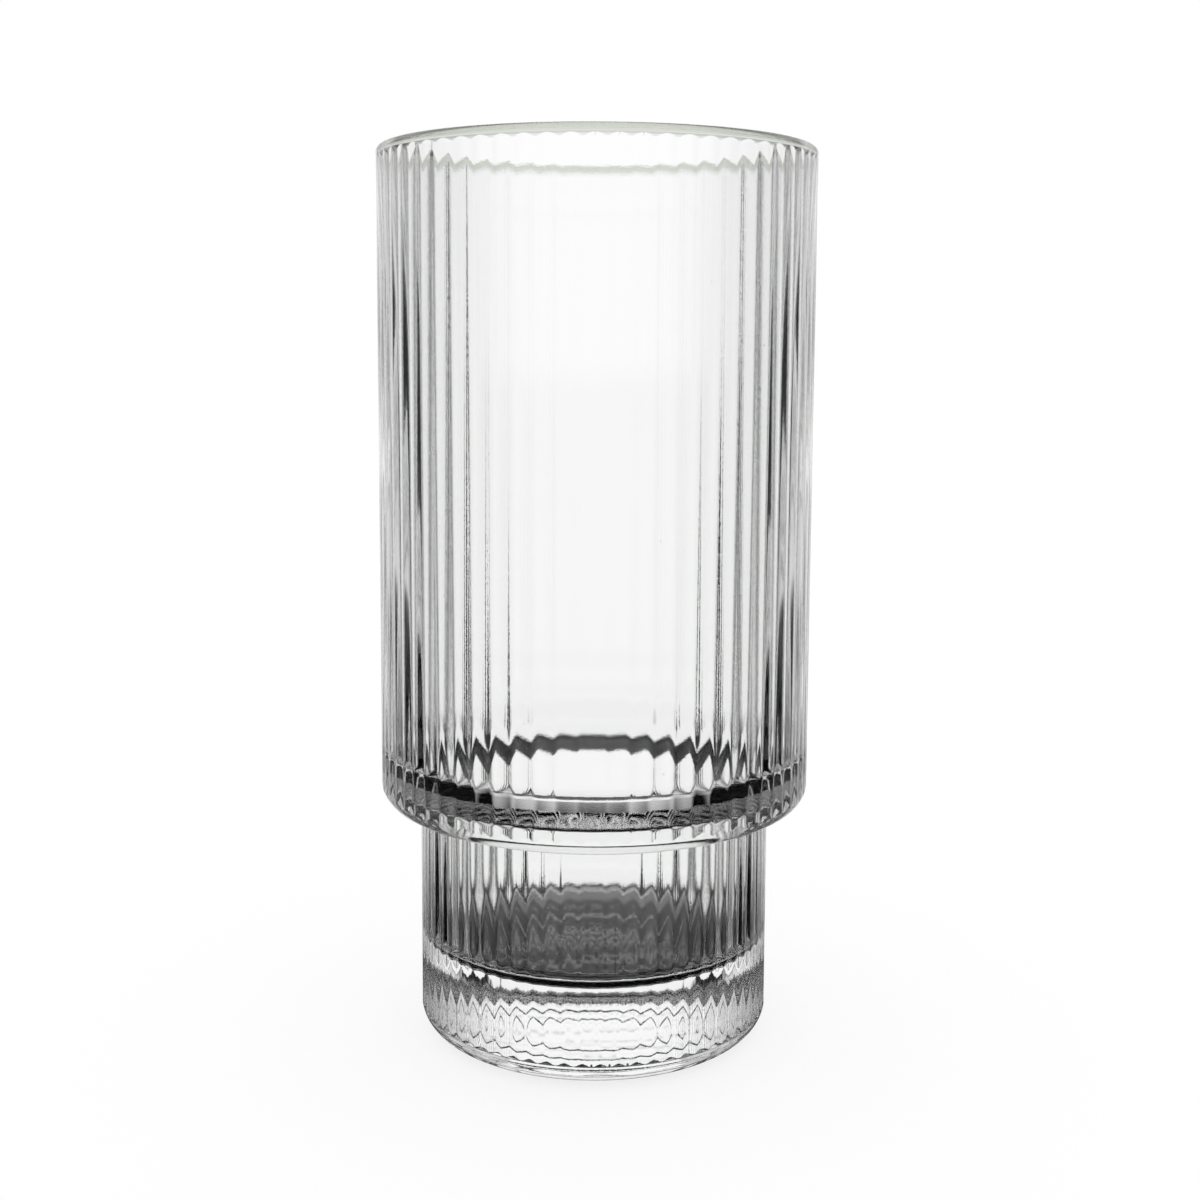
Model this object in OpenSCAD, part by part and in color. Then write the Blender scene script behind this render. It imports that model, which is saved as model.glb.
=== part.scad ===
// Stacking drinking glass in clear pressed glass: a reeded bowl over a narrower reeded foot.
// The origin is the centre of the circle that the glass stands on, with +Z up.
// A real glass is one pressing. It is cut here at its own mould lines, so that each zone is a
// solid of its own, and every zone meets the next one face to face.

/* [Glass] */
// Height from the table to the top of the rim
glass_h = 151; // [130:0.5:180]
// Outer diameter of the plain band at the rim
rim_d = 74; // [70:0.5:84]
// Thickness of the wall at the rim, whose edge is a full round
rim_wall = 2; // [1.4:0.1:2.6]
// How much narrower the bore is in radius at the shoulder than at the rim
bore_draft = 3; // [2.2:0.1:3.4]

/* [Reeds] */
// How many upright reeds go round the bowl, and the same again round the foot
reed_count = 65; // [48:1:80]
// Depth of the valleys between two reeds
reed_depth = 0.32; // [0.2:0.02:0.6]
// How far the plain rim band and the plain heel stand proud of the reeds
rim_proud = 0.1; // [0.05:0.05:0.3]
// Height of the plain band above the tips of the reeds
band_h = 0.3; // [0.2:0.1:3]
// Height over which the valleys run out at the plain rim band and at the plain heel
reed_runout = 1.8; // [1:0.1:5]

/* [Shoulder] */
// Height of the flat underside of the shoulder above the table
shoulder_z = 39.9; // [34:0.5:46]
// Radius of the round on the shoulder's outer corner
shoulder_round = 4.2; // [2.5:0.1:5]
// How far above the underside the sloping ledge inside begins
ledge_low = 2.1; // [1.4:0.1:3]
// Height of the sloping ledge, from the throat's wall up to the bore's wall
ledge_h = 8.4; // [7.2:0.1:10]
// Radius of the fillet between the ledge and the bowl's bore
ledge_fillet = 4; // [2.5:0.1:5]
// Radius of the round where the ledge drops into the foot
ledge_round = 2; // [1:0.1:3]

/* [Foot] */
// How far the shoulder stands out over the foot, in radius
shoulder_step = 6.8; // [5.5:0.1:9]
// Thickness of the foot's wall at the shoulder, over the reeds
foot_wall = 3.2; // [2.6:0.1:4.5]
// How much narrower the foot's bore is in radius at the floor than at the shoulder
foot_draft = 0.4; // [0:0.1:0.8]
// Radius of the round on the heel
heel_round = 4.6; // [3:0.1:6]
// Height of the plain heel under the tips of the reeds
heel_band = 3.6; // [2.5:0.1:6]

/* [Base] */
// Thickness of the solid bottom under the floor of the glass
base_t = 15; // [10:0.5:22]
// Radius of the fillet between the floor and the foot's bore
floor_fillet = 4; // [2:0.1:6]
// Width of the flat ring that the glass stands on, from the heel's round to the recess
ring_w = 4.7; // [3:0.1:7]
// Depth of the recess, which is also the height of the standing ring
recess_depth = 0.8; // [0.5:0.1:1.5]

/* [Hidden] */

$fn = 160;
// Sides of the circle that rounds one reed
reed_sides = 48;
// How far a cut runs past the face that it opens
overrun = 1;
// Share of the floor's fillet that is left to the base
base_fillet_share = 0.125;
// Depth at which the run-out cone starts, as a share of the valleys' depth
cone_start_share = 2;

rim_r = rim_d / 2;
bowl_r = rim_r - rim_proud;
bore_top_r = rim_r - rim_wall;
bore_low_r = bore_top_r - bore_draft;
foot_r = rim_r - shoulder_step;
throat_r = foot_r - foot_wall;
floor_r = throat_r - foot_draft;
heel_r = foot_r + rim_proud;
recess_r = heel_r - heel_round - ring_w;

// Levels inside the glass, from the table up
floor_z = base_t;
ledge_low_z = shoulder_z + ledge_low;
ledge_top_z = ledge_low_z + ledge_h;
edge_r = rim_wall / 2;
edge_z = glass_h - edge_r;

// Centres of the round at the throat and of the fillet at the bore, which meets the drafted wall
// without a kink, and the direction square to the slope between them
bore_lean = atan(bore_draft / (edge_z - ledge_top_z));
round_at = [throat_r + ledge_round, ledge_low_z];
fillet_at = [
    bore_low_r - ledge_fillet * cos(bore_lean),
    ledge_top_z + ledge_fillet * sin(bore_lean)
];
ledge_way = fillet_at - round_at;
ledge_turn = atan2(ledge_way[1], ledge_way[0])
    - acos(-(ledge_round + ledge_fillet) / norm(ledge_way));
ledge_square = [cos(ledge_turn), sin(ledge_turn)];

// Levels where one zone ends and the next begins. The lowest part of the floor's fillet belongs
// to the base, so that no zone ends in a feather edge.
ring_top_z = recess_depth;
base_top_z = floor_z + floor_fillet * base_fillet_share;
rim_low_z = edge_z - band_h;

reed_pitch = 360 / reed_count;

// Distance from the axis to the chord between the two valleys of a reed
function chord_r(crest_r) = (crest_r - reed_depth) * cos(reed_pitch / 2);

// Half the width of a reed, from the middle of its chord to a valley
function half_reed(crest_r) = (crest_r - reed_depth) * sin(reed_pitch / 2);

// Radius of the round that a reed of this crest radius has across it
function reed_round(crest_r) =
    (pow(crest_r - chord_r(crest_r), 2) + pow(half_reed(crest_r), 2))
    / (2 * (crest_r - chord_r(crest_r)));

// Half outline of a disc or a pocket with its lower outer corner rounded, from its lowest level up
module rounded_outline(outer_r, round_r, h) {
    square([outer_r - round_r, h]);
    translate([0, round_r])
        square([outer_r, h - round_r]);
    translate([outer_r - round_r, round_r])
        circle(r = round_r);
}

// Outside of the glass without its reeds: heel and foot, shoulder and bowl, and the drinking edge
module outer_outline() {
    rounded_outline(heel_r, heel_round, shoulder_z);
    translate([0, shoulder_z])
        rounded_outline(rim_r, shoulder_round, edge_z - shoulder_z);
    translate([rim_r - edge_r, edge_z])
        circle(r = edge_r);
}

// Hollow of the glass: the floor's fillet, the foot's bore, the throat, the ledge and the bowl's bore
module hollow_outline() {
    translate([0, floor_z])
        rounded_outline(floor_r, floor_fillet, shoulder_z - floor_z);
    polygon([
        [0, floor_z + floor_fillet],
        [floor_r, floor_z + floor_fillet],
        [throat_r, shoulder_z],
        [throat_r, ledge_low_z],
        [0, ledge_low_z]
    ]);
    difference() {
        polygon([
            [0, ledge_low_z],
            round_at,
            round_at - ledge_round * ledge_square,
            fillet_at + ledge_fillet * ledge_square,
            fillet_at,
            [0, ledge_top_z]
        ]);
        translate(round_at)
            circle(r = ledge_round);
    }
    translate(fillet_at)
        circle(r = ledge_fillet);
    polygon([
        [0, ledge_top_z],
        [bore_low_r, ledge_top_z],
        [bore_top_r, edge_z],
        [0, edge_z]
    ]);
}

// Recess under the bottom, whose edge is a quarter round
module recess_outline() {
    translate([0, -overrun])
        square([recess_r - recess_depth, recess_depth + overrun]);
    intersection() {
        translate([recess_r - recess_depth, 0])
            circle(r = recess_depth);
        square([recess_r, recess_depth]);
    }
}

// One zone of the glass without its reeds, cut from the whole outline between two levels
module plain_zone(low_z, top_z) {
    rotate_extrude()
        intersection() {
            difference() {
                outer_outline();
                hollow_outline();
                recess_outline();
            }
            translate([0, low_z])
                square([rim_r, top_z - low_z]);
        }
}

// Reeded bar between two levels, filled to the axis, with one reed facing -Y
module reeded_bar(crest_r, low_z, top_z) {
    round_r = reed_round(crest_r);
    translate([0, 0, low_z])
        linear_extrude(height = top_z - low_z) {
            circle(r = crest_r - round_r);
            for (i = [0 : reed_count - 1])
                rotate(i * reed_pitch - 90)
                    translate([crest_r - round_r, 0])
                        circle(r = round_r, $fn = reed_sides);
        }
}

// Plain band with the full round of the drinking edge
module rim() {
    color("gainsboro", 0.5)
        plain_zone(rim_low_z, glass_h);
}

// Reeded wall of the bowl. Under the rim a cone fills the valleys, so that they run out and
// each reed ends in an arched tip.
module reeded_bowl() {
    color("whitesmoke", 0.5)
        intersection() {
            plain_zone(ledge_top_z, rim_low_z);
            union() {
                reeded_bar(bowl_r, ledge_top_z, rim_low_z);
                translate([0, 0, rim_low_z - reed_runout])
                    cylinder(
                        h = reed_runout,
                        r1 = bowl_r - cone_start_share * reed_depth,
                        r2 = rim_r
                    );
            }
        }
}

// Shoulder on which the glass hangs in the rim of the one below. Its ledge leads into the foot
// inside, and the reeds run out round its corner.
module stacking_shoulder() {
    color("lightgray", 0.5)
        intersection() {
            plain_zone(shoulder_z, ledge_top_z);
            reeded_bar(bowl_r, shoulder_z, ledge_top_z);
        }
}

// Hollow part of the foot
module reeded_foot() {
    color("whitesmoke", 0.5)
        intersection() {
            plain_zone(base_top_z, shoulder_z);
            reeded_bar(foot_r, base_top_z, shoulder_z);
        }
}

// Solid bottom. Over the plain heel a cone fills the valleys, so that the reeds run out there.
module base() {
    color("silver", 0.5)
        intersection() {
            plain_zone(ring_top_z, base_top_z);
            union() {
                reeded_bar(foot_r, ring_top_z, base_top_z);
                translate([0, 0, ring_top_z])
                    cylinder(h = heel_band - ring_top_z, r = heel_r);
                translate([0, 0, heel_band])
                    cylinder(
                        h = reed_runout,
                        r1 = heel_r,
                        r2 = foot_r - cone_start_share * reed_depth
                    );
            }
        }
}

// Ring that the glass stands on, round the shallow recess
module standing_ring() {
    color("darkgray", 0.5)
        plain_zone(0, ring_top_z);
}

rim();
reeded_bowl();
stacking_shoulder();
reeded_foot();
base();
standing_ring();
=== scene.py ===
import math

import bpy
import numpy as np
from mathutils import Matrix, Vector


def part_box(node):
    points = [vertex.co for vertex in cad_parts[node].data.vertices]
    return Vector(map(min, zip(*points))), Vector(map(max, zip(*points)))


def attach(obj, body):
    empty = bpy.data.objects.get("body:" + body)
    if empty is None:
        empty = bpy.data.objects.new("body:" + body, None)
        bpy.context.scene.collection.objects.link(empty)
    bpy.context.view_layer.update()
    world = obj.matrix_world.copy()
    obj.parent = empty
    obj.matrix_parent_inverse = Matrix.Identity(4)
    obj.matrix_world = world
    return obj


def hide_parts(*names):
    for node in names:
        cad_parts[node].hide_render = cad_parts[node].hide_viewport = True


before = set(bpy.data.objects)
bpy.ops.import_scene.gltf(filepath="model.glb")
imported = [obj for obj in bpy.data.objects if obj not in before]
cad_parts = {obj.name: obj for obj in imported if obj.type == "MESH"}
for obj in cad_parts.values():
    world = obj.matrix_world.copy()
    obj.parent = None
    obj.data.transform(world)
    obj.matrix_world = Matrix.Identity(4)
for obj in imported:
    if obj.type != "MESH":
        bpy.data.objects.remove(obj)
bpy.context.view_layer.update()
print("frame loaded, nodes:", ", ".join(sorted(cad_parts)))

mm = 0.001
slack = 1e-9       # allowed when two levels or two places are compared
axisGap = 0.001    # mm, radius of the smallest ring round the axis


# shader maths: sums and products of wires add the Math nodes
class Wire:
    def __init__(self, graph, socket):
        self.graph = graph
        self.socket = socket

    def math(self, operation, first, second=None):
        values = {0: first} if second is None else {0: first, 1: second}
        return self.graph.add("ShaderNodeMath", {"operation": operation}, values)

    def __add__(self, other): return self.math("ADD", self, other)
    def __radd__(self, other): return self.math("ADD", other, self)
    def __sub__(self, other): return self.math("SUBTRACT", self, other)
    def __rsub__(self, other): return self.math("SUBTRACT", other, self)
    def __mul__(self, other): return self.math("MULTIPLY", self, other)
    def __rmul__(self, other): return self.math("MULTIPLY", other, self)
    def __truediv__(self, other): return self.math("DIVIDE", self, other)
    def __rtruediv__(self, other): return self.math("DIVIDE", other, self)
    def __abs__(self): return self.math("ABSOLUTE", self)


class Graph:
    def __init__(self, tree):
        self.tree = tree
        tree.nodes.clear()

    # settings go on the node first, then the values or links of its inputs; gives one output back
    def add(self, kind, settings=None, inputs=None, out=0):
        node = self.tree.nodes.new(kind)
        for name, value in (settings or {}).items():
            if name == "stops":
                while len(node.color_ramp.elements) < len(value):
                    node.color_ramp.elements.new(0.5)
                for element, (place, colour) in zip(node.color_ramp.elements, value):
                    element.position = place
                    element.color = colour
            else:
                setattr(node, name, value)
        for name, value in (inputs or {}).items():
            if isinstance(value, Wire):
                self.tree.links.new(value.socket, node.inputs[name])
            else:
                node.inputs[name].default_value = value
        return Wire(self, node.outputs[out]) if node.outputs else node

    def also(self, wire, out):
        return Wire(self, wire.socket.node.outputs[out])

    # 0 at low, 1 at high, eased between
    def ease(self, value, low, high):
        return self.add("ShaderNodeMapRange", {"interpolation_type": "SMOOTHSTEP"},
                        {"Value": value, "From Min": low, "From Max": high})

    def bump(self, height, distance, under=None):
        inputs = {"Height": height, "Strength": 1.0, "Distance": distance * mm}
        if under:
            inputs["Normal"] = under
        return self.add("ShaderNodeBump", {}, inputs)


def grey(value):
    return (value, value, value, 1)


def mixColour(g, factor, first, second):
    return g.add("ShaderNodeMix", {"data_type": "RGBA"}, {0: factor, 6: first, 7: second}, 2)


# outer sizes in millimetres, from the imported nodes
rimLow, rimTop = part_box("rim")
shoulderLow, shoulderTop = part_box("stacking_shoulder")
baseLow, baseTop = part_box("base")
packed = {
    "height": rimTop.z / mm,
    "rimRadius": rimTop.x / mm,
    "bandLow": rimLow.z / mm,
    "ledgeTop": shoulderTop.z / mm,
    "shoulderLow": shoulderLow.z / mm,
    "baseTop": baseTop.z / mm,
    "recessDepth": baseLow.z / mm,
}


# a row of a turned face is its radius, its height, and how far its normal points out and up
def arcRows(x, z, radius, start, end, steps):
    turns = [math.radians(start + (end - start) * i / (steps - 1)) for i in range(steps)]
    return [(x + radius * math.cos(t), z + radius * math.sin(t), math.cos(t), math.sin(t))
            for t in turns]


# rows down a hollow face: same points, normals turned towards the hollow
def turned(rows):
    return [(r, z, -nr, -nz) for r, z, nr, nz in rows]


def wallRows(low, high, steps):
    length = math.hypot(high[0] - low[0], high[1] - low[1])
    nr, nz = (high[1] - low[1]) / length, -(high[0] - low[0]) / length
    return [(low[0] + (high[0] - low[0]) * i / (steps - 1),
             low[1] + (high[1] - low[1]) * i / (steps - 1), nr, nz) for i in range(steps)]


# straight up at one radius
def sideRows(radius, low, high, steps):
    return [(radius, z, 1, 0) for z in np.linspace(low, high, steps)]


# rows cut at a level, with one row exactly on it
def cutRows(rows, level, keepAbove):
    kept = []
    for here, after in zip(rows, rows[1:] + [None]):
        if (here[1] >= level - slack) == keepAbove:
            kept.append(here)
        if after and (here[1] - level) * (after[1] - level) < 0:
            t = (level - here[1]) / (after[1] - here[1])
            kept.append(tuple(a + (b - a) * t for a, b in zip(here, after)))
    return kept


# the reeds that go round the bowl, the shoulder and the foot
reeds = {
    "count": 65,
    "depth": 0.32,
    "valleyRound": 2.6,    # fire polishing leaves the valleys softly rounded
    "runout": 1.8,         # height over which the valleys fade out at the rim and at the heel
    "fillStart": 2,        # how deep the fading starts, in depths of a reed
    "columnPlaces": [0.16, 0.32, 0.48, 0.62, 0.74, 0.84, 0.93],    # half a reed, crest 0, valley 1
}

# every row of the mesh is one ring of points round the axis
pitch = 2 * math.pi / reeds["count"]
halfPlaces = reeds["columnPlaces"]
reedPlaces = [-place for place in halfPlaces[::-1]] + [0.0] + halfPlaces + [1.0]
ringAngles = np.array([(reed + place / 2) * pitch
                       for reed in range(reeds["count"]) for place in reedPlaces])
columnCount = len(ringAngles)


# radius of the reeded face at every column, and how far its normal turns away from the radius
def reedRing(crest):
    valley = crest - reeds["depth"]
    chord, half = valley * math.cos(pitch / 2), valley * math.sin(pitch / 2)
    reedRound = ((crest - chord) ** 2 + half ** 2) / (2 * (crest - chord))
    centre = crest - reedRound
    local = (ringAngles + pitch / 2) % pitch - pitch / 2
    radius = centre * np.cos(local) + np.sqrt(reedRound ** 2 - (centre * np.sin(local)) ** 2)
    lean = np.arctan2(radius * np.sin(local), radius * np.cos(local) - centre) - local
    # the round in the valley touches the reeds on both sides of it
    soft = reeds["valleyRound"]
    away = centre * math.cos(pitch / 2) \
        + math.sqrt((reedRound + soft) ** 2 - (centre * math.sin(pitch / 2)) ** 2)
    side = local - np.sign(local) * pitch / 2
    side[np.abs(np.abs(local) - pitch / 2) < slack] = 0
    touch = centre * math.sin(pitch / 2) * soft / (reedRound + soft)
    low = away * np.cos(side) - np.sqrt(np.maximum(soft ** 2 - (away * np.sin(side)) ** 2, 0))
    inValley = np.abs(low * np.sin(side)) < touch
    lowLean = np.arctan2(-low * np.sin(side), away - low * np.cos(side)) - side
    return np.where(inValley, low, radius), np.where(inValley, lowLean, lean)


class ReededShell:
    def __init__(self):
        self.points, self.normals, self.faces, self.last = [], [], [], None

    def ring(self, radius, z, nr, nz, lean=0.0):
        radius, nr, nz, lean = (np.broadcast_to(v, columnCount) for v in (radius, nr, nz, lean))
        heading = ringAngles + lean
        self.points.append(np.stack([radius * np.sin(ringAngles), -radius * np.cos(ringAngles),
                                     np.full(columnCount, z)], 1))
        self.normals.append(np.stack([nr * np.sin(heading), -nr * np.cos(heading), nz], 1))
        here = len(self.points) - 1
        if self.last is not None:
            i = np.arange(columnCount)
            j = (i + 1) % columnCount
            a, b = self.last * columnCount, here * columnCount
            self.faces.append(np.stack([a + i, a + j, b + j, b + i], 1))
        self.last = here

    # a turned face; with a crest radius its reeds are cut by the rows, and fill closes the valleys
    def rings(self, rows, crest=None, fill=None):
        self.last = None
        for r, z, nr, nz in rows:
            if crest is None:
                self.ring(r, z, nr, nz)
                continue
            radius, lean = reedRing(crest)
            up, out = np.zeros(columnCount), np.ones(columnCount)
            filled = fill(z) if fill else None
            if filled:
                length = math.hypot(1, filled[1])
                over = filled[0] > radius
                radius, lean = np.where(over, filled[0], radius), np.where(over, 0.0, lean)
                out, up = np.where(over, 1 / length, out), np.where(over, -filled[1] / length, up)
            cut = radius >= r
            self.ring(np.where(cut, r, radius), z, np.where(cut, nr, out), np.where(cut, nz, up),
                      np.where(cut, 0.0, lean))

    def finish(self, name):
        points, normals = np.concatenate(self.points) * mm, np.concatenate(self.normals)
        normals /= np.linalg.norm(normals, axis=1, keepdims=True)
        faces = np.concatenate(self.faces)
        mesh = bpy.data.meshes.new(name)
        mesh.from_pydata(points.tolist(), [], faces.tolist())
        mesh.update()
        mesh.polygons.foreach_set("use_smooth", np.ones(len(faces), bool))
        mesh.normals_split_custom_set_from_vertices(normals.tolist())
        piece = bpy.data.objects.new(name, mesh)
        bpy.context.scene.collection.objects.link(piece)
        return piece


rim = {
    "wall": 2.0,      # the drinking edge is a full round of this width
    "proud": 0.1,     # rim band and heel over the crests of the reeds
    "edgeRows": 28,
    # the rim's tint is darker than the rest of the glass: partly the glass's own olive seen
    # edge-on, partly painted shade that darkens the lip into a dark band
    "finish": {"slot": "rim_glass", "tint": (0.68, 0.70, 0.64), "wave": 0.10, "waveHeight": 0.010},
}
edgeRadius = rim["wall"] / 2
edgeHeight = packed["height"] - edgeRadius
boreTop = packed["rimRadius"] - rim["wall"]
bowlCrest = packed["rimRadius"] - rim["proud"]


def makeRim():
    shell = ReededShell()
    low = packed["bandLow"]
    rows = [(packed["rimRadius"], low, 1, 0), (packed["rimRadius"], edgeHeight, 1, 0)]
    rows += arcRows(packed["rimRadius"] - edgeRadius, edgeHeight, edgeRadius,
                    0, 180, rim["edgeRows"])[1:]
    rows += boreRows(low, edgeHeight, 2)[::-1][1:]
    shell.rings(rows)
    return shell.finish("rim_band")


bowl = {
    "boreDraft": 3.0,    # how much the bore narrows from the rim to the ledge
    "wallRows": 8,
    "runoutRows": 24,
    "boreRows": 10,
    "finish": {"slot": "bowl_glass", "tint": (0.99, 0.995, 0.99), "wave": 0.12,
               "waveHeight": 0.012},
}
boreLow = boreTop - bowl["boreDraft"]
boreLean = math.atan(bowl["boreDraft"] / (edgeHeight - packed["ledgeTop"]))


# radius of the bore's wall, which leans out towards the rim
def boreAt(z):
    ledge = packed["ledgeTop"]
    return boreLow + (boreTop - boreLow) * (z - ledge) / (edgeHeight - ledge)


def boreRows(low, high, steps):
    return [(r, z, -math.cos(boreLean), math.sin(boreLean))
            for r, z, _, _ in wallRows((boreAt(low), low), (boreAt(high), high), steps)]


# the cone that fills the valleys under the rim: its radius and slope at a height
def rimFill(z):
    coneLow = packed["bandLow"] - reeds["runout"]
    low, high = bowlCrest - reeds["fillStart"] * reeds["depth"], packed["rimRadius"]
    slope = (high - low) / reeds["runout"]
    return (low + slope * (z - coneLow), slope) if z > coneLow else None


def makeBowl():
    shell = ReededShell()
    coneLow = packed["bandLow"] - reeds["runout"]
    rows = sideRows(packed["rimRadius"], packed["ledgeTop"], coneLow, bowl["wallRows"])
    rows += sideRows(packed["rimRadius"], coneLow, packed["bandLow"], bowl["runoutRows"])[1:]
    shell.rings(rows, bowlCrest, rimFill)
    shell.rings(boreRows(packed["ledgeTop"], packed["bandLow"], bowl["boreRows"])[::-1])
    return shell.finish("reeded_bowl_wall")


shoulder = {
    "step": 6.8,           # shoulder over foot, in radius
    "round": 4.2,          # on the outer corner
    "ledgeLow": 2.1,       # start of the sloping ledge above the underside
    "ledgeFillet": 4.0,
    "ledgeRound": 2.0,
    "roundRows": 28,
    "wallRows": 5,
    "filletRows": 20,
    "throatRows": 14,
    "finish": {"slot": "shoulder_glass", "tint": (0.99, 0.995, 0.99), "wave": 0.2,
               "waveHeight": 0.012},
}
footRadius = packed["rimRadius"] - shoulder["step"]
ledgeLow = packed["shoulderLow"] + shoulder["ledgeLow"]


# the sloping ledge: a fillet under the bore, a straight slope, and a round into the throat
def ledgeRows():
    fillet, throatRound = shoulder["ledgeFillet"], shoulder["ledgeRound"]
    filletX = boreLow - fillet * math.cos(boreLean)
    filletZ = packed["ledgeTop"] + fillet * math.sin(boreLean)
    roundX = throat + throatRound
    wide, high = filletX - roundX, filletZ - ledgeLow
    turn = math.atan2(high, wide) - math.acos(-(throatRound + fillet) / math.hypot(wide, high))
    turn = math.degrees(turn)
    rows = turned(arcRows(filletX, filletZ, fillet, -math.degrees(boreLean), turn,
                          shoulder["filletRows"]))
    rows += arcRows(roundX, ledgeLow, throatRound, turn + 180, 180, shoulder["throatRows"])
    return rows


def makeShoulder():
    shell = ReededShell()
    cornerX = packed["rimRadius"] - shoulder["round"]
    cornerZ = packed["shoulderLow"] + shoulder["round"]
    reed, _ = reedRing(footRadius)
    shell.ring(reed, packed["shoulderLow"], 0, -1)
    shell.ring(cornerX, packed["shoulderLow"], 0, -1)
    rows = arcRows(cornerX, cornerZ, shoulder["round"], -90, 0, shoulder["roundRows"])
    rows += sideRows(packed["rimRadius"], cornerZ, packed["ledgeTop"], shoulder["wallRows"])[1:]
    shell.rings(rows, bowlCrest)
    shell.rings(ledgeRows() + [(throat, packed["shoulderLow"], -1, 0)])
    return shell.finish("shoulder_and_ledge")


foot = {
    "wall": 3.2,
    "draft": 0.4,     # how much the foot's bore narrows down to the floor
    "wallRows": 6,
    "boreRows": 4,
    "finish": {"slot": "foot_glass", "tint": (0.99, 0.995, 0.99), "wave": 0.2, "waveHeight": 0.012},
}
throat = footRadius - foot["wall"]
floorRadius = throat - foot["draft"]


def makeFoot():
    shell = ReededShell()
    shell.rings(sideRows(heelOuter, packed["baseTop"], packed["shoulderLow"], foot["wallRows"]),
                footRadius)
    wall = wallRows((floorRadius, base["floorHeight"] + base["floorFillet"]),
                    (throat, packed["shoulderLow"]), foot["boreRows"])
    shell.rings(turned(wall)[::-1] + cutRows(floorRows(), packed["baseTop"], True)[1:])
    return shell.finish("reeded_foot_wall")


base = {
    "floorHeight": 15.0,
    "floorFillet": 4.0,
    "heelRound": 4.6,
    "heelBand": 3.6,         # height of the plain heel
    "marks": (10.0, 15.5),   # radii of the fine rings in the recess
    "markWidth": 1.2,
    "markDepth": 0.12,
    "heelRows": (20, 9),     # up to the reeds, and from there to the top of the round
    "runoutRows": 9,
    "wallRows": 4,
    "floorRows": 28,
    "markRows": 11,
    "finish": {"slot": "base_glass", "tint": (0.985, 0.993, 0.987), "wave": 0.25,
               "waveHeight": 0.014, "ripple": 0.3},
}
heelOuter = footRadius + rim["proud"]


# the cone that fills the valleys over the heel
def heelFill(z):
    low = footRadius - reeds["fillStart"] * reeds["depth"]
    slope = (low - heelOuter) / reeds["runout"]
    if z < base["heelBand"]:
        return heelOuter, 0.0
    return (heelOuter + slope * (z - base["heelBand"]), slope)


def heelRows():
    heelRound, band = base["heelRound"], base["heelBand"]
    bandTurn = -math.degrees(math.asin(1 - band / heelRound))
    fillTop = band + reeds["runout"]
    below, above = base["heelRows"]
    rows = arcRows(heelOuter - heelRound, heelRound, heelRound, -90, bandTurn, below)
    rows += arcRows(heelOuter - heelRound, heelRound, heelRound, bandTurn, 0, above)[1:]
    rows += sideRows(heelOuter, heelRound, fillTop, base["runoutRows"])[1:]
    rows += sideRows(heelOuter, fillTop, packed["baseTop"], base["wallRows"])[1:]
    return rows


def floorRows():
    fillet = base["floorFillet"]
    return turned(arcRows(floorRadius - fillet, base["floorHeight"] + fillet, fillet,
                          0, -90, base["floorRows"]))


# one fine ring in the underside, as rows across it
def markRows(radius):
    rows, width, depth = [], base["markWidth"], base["markDepth"]
    for i in range(base["markRows"]):
        share = i / (base["markRows"] - 1)
        slope = math.pi * depth / width * math.sin(2 * math.pi * share)
        length = math.hypot(1, slope)
        rows.append((radius + (share - 0.5) * width,
                     packed["recessDepth"] + depth * math.sin(math.pi * share) ** 2,
                     slope / length, -1 / length))
    return rows


def makeBase():
    shell = ReededShell()
    recess = packed["recessDepth"]
    shell.rings(cutRows(heelRows(), recess, True), footRadius, heelFill)
    shell.rings(cutRows(floorRows(), packed["baseTop"], False)
                + [(axisGap, base["floorHeight"], 0, 1)])
    marks = [row for radius in base["marks"] for row in markRows(radius)]
    shell.rings([(axisGap, recess, 0, -1)] + marks + [(recessRadius - recess, recess, 0, -1)])
    return shell.finish("solid_base")


ring = {
    "width": 4.7,       # of the flat that the glass stands on
    "recessRows": 10,
    "finish": base["finish"],
}
recessRadius = heelOuter - base["heelRound"] - ring["width"]


def makeRing():
    shell = ReededShell()
    recess = packed["recessDepth"]
    shell.rings(turned(arcRows(recessRadius - recess, 0, recess, 90, 0, ring["recessRows"])))
    shell.rings([(recessRadius, 0, 0, -1), (heelOuter - base["heelRound"], 0, 0, -1)])
    shell.rings(cutRows(heelRows(), recess, False))
    return shell.finish("standing_ring_face")


pieces = {
    "rim": (makeRim(), rim["finish"]),
    "reeded_bowl": (makeBowl(), bowl["finish"]),
    "stacking_shoulder": (makeShoulder(), shoulder["finish"]),
    "reeded_foot": (makeFoot(), foot["finish"]),
    "base": (makeBase(), base["finish"]),
    "standing_ring": (makeRing(), ring["finish"]),
}
print("glass shells made:", {node: len(piece.data.polygons) for node, (piece, _) in pieces.items()})


# clear pressed glass; what differs from zone to zone is in the finish of each piece, and the rim's
# darker tint is partly painted shade
glass = {
    "rough": 0.0,
    "stretch": (1000, 1000, 160),    # millimetres, with the waves drawn out along the height
    "grain": 0.003,                  # depths and sizes of grain and seeds in millimetres
    "grainScale": 4200.0,
    "seedEvery": 5.0,
    "seedSize": 0.16,
    "seedDepth": 0.05,
    "rippleScale": 170.0,
    "rippleFades": (3.0, 1.5),       # heights over the table between which the ripple sets in
    "cloudScale": 60.0,
    "cloudTint": 0.985,              # how much the tint deepens in the clouds
}


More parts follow.
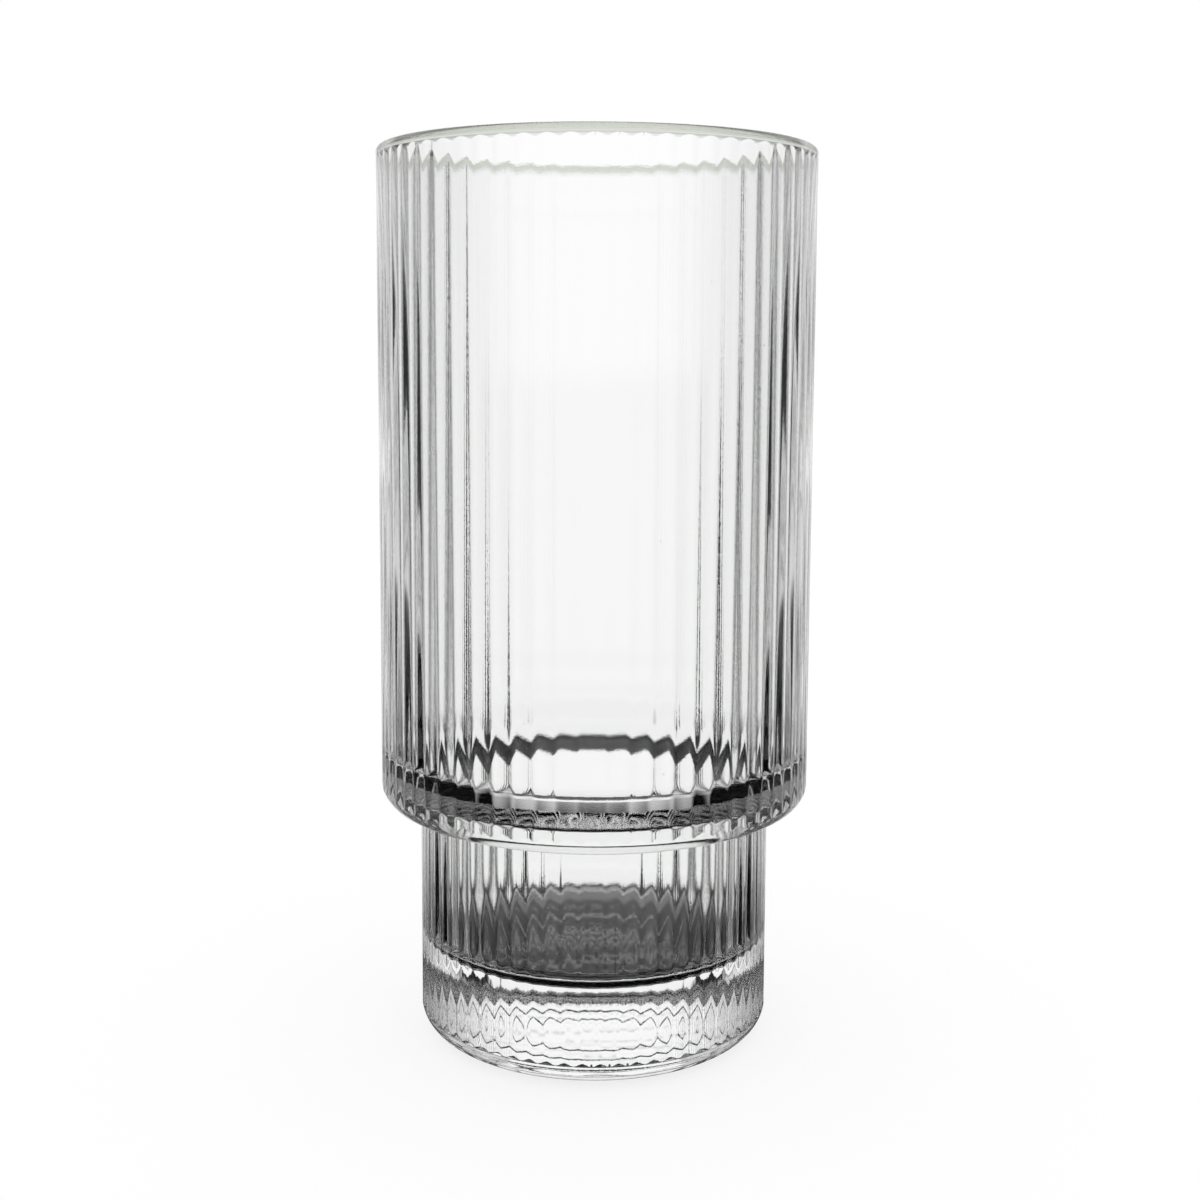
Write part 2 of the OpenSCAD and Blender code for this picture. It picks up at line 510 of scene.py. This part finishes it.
def makeGlass(name, look):
    material = bpy.data.materials.new(name)
    material.use_nodes = True
    g = Graph(material.node_tree)
    place = g.add("ShaderNodeTexCoord", out="Object")
    # the pressed skin: slow waves along the height
    stretched = g.add("ShaderNodeMapping", {}, {"Vector": place, "Scale": glass["stretch"]})
    wave = g.add("ShaderNodeTexNoise", {},
                 {"Vector": stretched, "Scale": look["wave"], "Detail": 2.0}, "Fac")
    skin = g.bump(wave, look["waveHeight"])
    # fine grain of the mould, and a few seeds: tiny bubbles that dent the skin
    grain = g.add("ShaderNodeTexNoise", {},
                  {"Vector": place, "Scale": glass["grainScale"], "Detail": 2.0}, "Fac")
    skin = g.bump(grain, glass["grain"], skin)
    bubble = g.add("ShaderNodeTexVoronoi", {},
                   {"Vector": place, "Scale": 1 / (glass["seedEvery"] * mm)}, "Distance")
    seed = g.ease(bubble, glass["seedSize"] / glass["seedEvery"], 0.0)
    skin = g.bump(seed, glass["seedDepth"], skin)
    # the underside of the bottom, chilled by the mould, ripples slowly
    if look.get("ripple"):
        z = g.also(g.add("ShaderNodeSeparateXYZ", {}, {0: place}), 2)
        ripple = g.add("ShaderNodeTexNoise", {},
                       {"Vector": place, "Scale": glass["rippleScale"], "Detail": 1.0}, "Fac")
        start, full = (height * mm for height in glass["rippleFades"])
        skin = g.bump(ripple * g.ease(z, start, full), look["ripple"], skin)
    # a breath of tint that changes slowly through the glass
    cloud = g.add("ShaderNodeTexNoise", {},
                  {"Vector": place, "Scale": glass["cloudScale"], "Detail": 1.0}, "Fac")
    deeper = tuple(c * glass["cloudTint"] for c in look["tint"])
    tint = mixColour(g, cloud, (*look["tint"], 1), (*deeper, 1))
    shader = g.add("ShaderNodeBsdfPrincipled", {}, {
        "Base Color": tint, "Roughness": glass["rough"], "IOR": 1.5, "Transmission Weight": 1.0,
        "Normal": skin})
    g.add("ShaderNodeOutputMaterial", {}, {"Surface": shader})
    return material


finishes = {}
for node, (piece, look) in pieces.items():
    if look["slot"] not in finishes:
        finishes[look["slot"]] = makeGlass("clear_" + look["slot"], look)
    piece.data.materials.append(finishes[look["slot"]])
    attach(piece, "root")
    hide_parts(node)
print("glass finishes:", ", ".join(finishes))


# The studio that the glass refracts. Each list is brightness round the horizon, in degrees from
# straight behind the glass (0) to straight in front (180). The photo's view takes in 21 degrees
# to each side, and up to there the backdrop is white for the glass too. Dark strips stand
# beyond. They leave white gaps every 45 degrees, so that the glass is clear from other sides.
studio = {
    # rays that only went through the glass
    "clear": [(0, 1.0), (21, 1.0), (23, 0.1), (25, 0.02), (32, 0.02), (36, 0.6), (40, 0.95),
              (58, 0.95), (62, 0.2), (72, 0.1), (77, 0.9), (101, 0.95), (105, 0.2), (115, 0.1),
              (120, 0.9), (147, 0.95), (151, 0.2), (160, 0.1), (165, 0.95), (180, 1.0)],
    "clearAbove": 0.12,             # the same rays, when they leave steeply
    "clearAboveFrom": (14.0, 30.0),    # degrees over the horizon, as below
    # rays that were turned inside the glass, to the floor, near the horizon and over it
    "turnedFloor": [(0, 1.0), (21, 1.0), (24, 0.3), (31, 0.7), (44, 0.7), (49, 0.1), (53, 0.0),
                    (105, 0.0), (122, 0.5), (145, 1.0), (180, 1.0)],
    "low": [(0, 1.0), (21, 1.0), (24, 0.4), (34, 0.7), (46, 0.7), (52, 0.2), (58, 0.0),
            (105, 0.0), (122, 0.7), (145, 1.0), (180, 1.0)],
    "high": [(0, 1.0), (21, 1.0), (52, 0.5), (100, 0.5), (122, 0.25), (180, 0.22)],
    "highThroughWalls": [(0, 0.26), (5, 0.22), (9, 0.03), (14, 0.0), (180, 0.0)],
    "highFrom": (15.0, 22.0),
    "overhead": 0.0,
    "overheadFrom": (24.0, 48.0),
    # the room mirrored in the outer face, which falls away from white
    "mirror": [(0, 1.0), (48, 0.7), (60, 0.04), (180, 0.02)],
    # the painted shadow under the foot, drawn into the floor's glow for rays from the glass: metres
    # from the axis between which it ends
    "clearShade": (0.031, 0.037),
    "turnedShade": (0.031, 0.045),
    "footShade": (0.031, 0.03255),
    "floorSize": 5.0,
    "floorGap": 0.0003,
    "floorWhite": 1.03,             # makes up for the share that takes real shade
    "floorShare": 0.22,
    "bounces": 24,
}


def roundTheHorizon(g, x, y, stops):
    turn = abs(g.add("ShaderNodeMath", {"operation": "ARCTAN2"}, {0: x, 1: y})) / math.pi
    stops = [(place / 180, grey(value)) for place, value in stops]
    return g.add("ShaderNodeValToRGB", {"stops": stops}, {0: turn})


# eased between two angles over the horizon, from the height of a direction
def easeOver(g, z, angles):
    return g.ease(z, *(math.sin(math.radians(angle)) for angle in angles))


# 1 where a ray has met more faces of a kind than this
def moreThan(g, path, kind, count):
    return g.add("ShaderNodeMath", {"operation": "GREATER_THAN"},
                 {0: g.also(path, kind), 1: count + 0.5})


# what a ray meets in the studio; z is None on the floor, where it is painted into the floor's glow
def studioGlow(g, x, y, z):
    path = g.add("ShaderNodeLightPath")
    bounced = moreThan(g, path, "Glossy Depth", 0)
    first = 1 - moreThan(g, path, "Ray Depth", 1)
    clear = roundTheHorizon(g, x, y, studio["clear"])
    low = roundTheHorizon(g, x, y, studio["turnedFloor" if z is None else "low"])
    if z is not None:
        high = mixColour(g, moreThan(g, path, "Transmission Depth", 2),
                         roundTheHorizon(g, x, y, studio["high"]),
                         roundTheHorizon(g, x, y, studio["highThroughWalls"]))
        low = mixColour(g, easeOver(g, z, studio["highFrom"]), low, high)
        low = mixColour(g, easeOver(g, z, studio["overheadFrom"]), low, grey(studio["overhead"]))
        clear = mixColour(g, easeOver(g, z, studio["clearAboveFrom"]), clear,
                          grey(studio["clearAbove"]))
    glow = mixColour(g, bounced, clear, low)
    return mixColour(g, bounced * first, glow, roundTheHorizon(g, x, y, studio["mirror"]))


def makeStudioLight():
    world = bpy.data.worlds.new("studio")
    bpy.context.scene.world = world
    world.use_nodes = True
    g = Graph(world.node_tree)
    around = g.add("ShaderNodeTexCoord", out="Generated")
    direction = g.add("ShaderNodeSeparateXYZ", {}, {0: around})
    light = studioGlow(g, direction, g.also(direction, 1), g.also(direction, 2))
    # the camera and everything that isn't glass meet plain white paper
    path = g.add("ShaderNodeLightPath")
    plain = g.add("ShaderNodeMath", {"operation": "MAXIMUM"},
                  {0: path, 1: g.also(path, "Is Diffuse Ray")})
    sky = g.add("ShaderNodeBackground", {}, {"Color": light, "Strength": 1.0})
    paper = g.add("ShaderNodeBackground", {}, {"Color": grey(1.0), "Strength": 1.0})
    surface = g.add("ShaderNodeMixShader", {}, {0: plain, 1: sky, 2: paper})
    g.add("ShaderNodeOutputWorld", {}, {"Surface": surface})


def makeFloor():
    half, z = studio["floorSize"], -studio["floorGap"]
    mesh = bpy.data.meshes.new("floor")
    corners = [(-half, -half, z), (half, -half, z), (half, half, z), (-half, half, z)]
    mesh.from_pydata(corners, [], [(0, 1, 2, 3)])
    floor = bpy.data.objects.new("floor", mesh)
    bpy.context.scene.collection.objects.link(floor)
    material = bpy.data.materials.new("pale_floor")
    material.use_nodes = True
    g = Graph(material.node_tree)
    x = g.add("ShaderNodeSeparateXYZ", {}, {0: g.add("ShaderNodeNewGeometry", out="Position")})
    y = g.also(x, 1)
    away = g.add("ShaderNodeMath", {"operation": "SQRT"}, {0: x * x + y * y})
    bounced = moreThan(g, g.add("ShaderNodeLightPath"), "Glossy Depth", 0)
    # painted shadow: rays from the glass find the floor black in a disc under the foot, eased out
    # to the radii above
    lit = g.ease(away, *studio["clearShade"]) * (1 - bounced) \
        + g.ease(away, *studio["turnedShade"]) * bounced
    lit = lit * g.ease(away, *studio["footShade"])
    # the floor glows for rays from the glass with painted light: the studio's bright and dark
    # strips copied onto it
    paintedFloorGlow = mixColour(g, lit, grey(0.0), studioGlow(g, x, y, None))
    paintedFloorGlow = g.add("ShaderNodeEmission", {}, {"Color": paintedFloorGlow, "Strength": 1.0})
    shaded = g.add("ShaderNodeBsdfDiffuse", {}, {"Color": grey(1.0)})
    white = g.add("ShaderNodeEmission", {}, {"Color": grey(1.0), "Strength": studio["floorWhite"]})
    direct = g.add("ShaderNodeMixShader", {}, {0: studio["floorShare"], 1: white, 2: shaded})
    seen = g.add("ShaderNodeLightPath", out="Is Camera Ray")
    surface = g.add("ShaderNodeMixShader", {}, {0: seen, 1: paintedFloorGlow, 2: direct})
    g.add("ShaderNodeOutputMaterial", {}, {"Surface": surface})
    mesh.materials.append(material)


makeStudioLight()
makeFloor()
print("studio ready")


# the camera, at the height and distance that the outlines of rim, shoulder and base give
view = {
    "distance": 0.277,       # from the axis of the glass
    "height": 0.119,
    "pitch": 6.46,           # degrees down
    "roll": -0.27,
    "turn": 0.008,           # round the glass, radians
    "focal": 1616.3,         # in pixels of the 1200 pixel frame
    "centre": (595.4, 525.0),
    "frame": 1200,
    "sensor": 36,
    "clip": (0.001, 50),
}


def makeCamera():
    data = bpy.data.cameras.new("photo_view")
    camera = bpy.data.objects.new("photo_view", data)
    bpy.context.scene.collection.objects.link(camera)
    data.sensor_width = view["sensor"]
    data.lens = view["focal"] / view["frame"] * view["sensor"]
    data.clip_start, data.clip_end = view["clip"]
    data.shift_x = (view["frame"] / 2 - view["centre"][0]) / view["frame"]
    data.shift_y = (view["centre"][1] - view["frame"] / 2) / view["frame"]
    pitchDown = math.radians(view["pitch"])
    ahead = Vector((0, math.cos(pitchDown), -math.sin(pitchDown)))
    up = Vector((0, math.sin(pitchDown), math.cos(pitchDown)))
    aim = Matrix((Vector((1, 0, 0)), up, -ahead)).transposed()
    aim = aim @ Matrix.Rotation(math.radians(-view["roll"]), 3, "Z")
    turn = Matrix.Rotation(view["turn"], 3, "Z")
    at = turn @ Vector((0, -view["distance"], view["height"]))
    camera.matrix_world = Matrix.Translation(at) @ (turn @ aim).to_4x4()
    bpy.context.scene.camera = camera


makeCamera()
scene = bpy.context.scene
scene.view_settings.view_transform = "Standard"
scene.cycles.max_bounces = studio["bounces"]
scene.cycles.transmission_bounces = studio["bounces"]
scene.cycles.glossy_bounces = studio["bounces"]

print("scene done")
